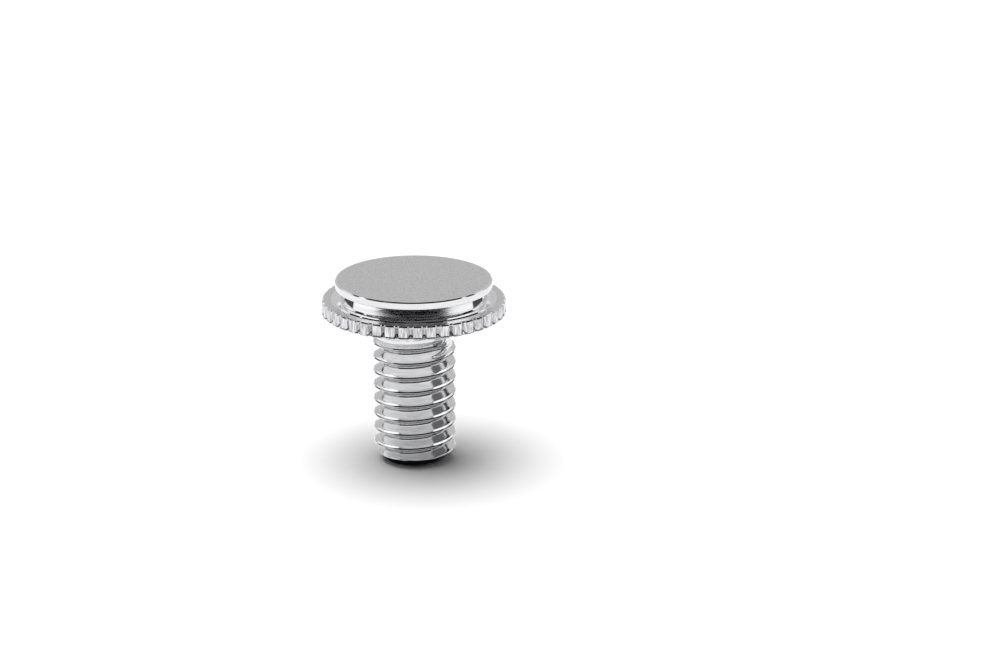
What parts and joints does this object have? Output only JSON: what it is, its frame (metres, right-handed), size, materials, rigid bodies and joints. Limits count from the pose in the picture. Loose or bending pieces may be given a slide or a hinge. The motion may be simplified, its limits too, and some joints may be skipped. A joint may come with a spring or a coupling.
{
  "type": "self-clinching screw",
  "caption": "Headless self-clinching screw with a smooth pilot disc, clinch groove, knurled flange and a right-hand metric thread ending in a flat point.",
  "frame": {"origin": "on the screw's axis, at the flat of its point", "axes": "+Z along the axis, from the point towards the pilot disc"},
  "size_m": [0.0086, 0.0086, 0.0088],
  "materials": {
    "bright_steel": "bright-plated, satin on the flat faces and polished in the groove"
  },
  "bodies": {
    "root": {"screw": "bright_steel"}
  },
  "joints": []
}
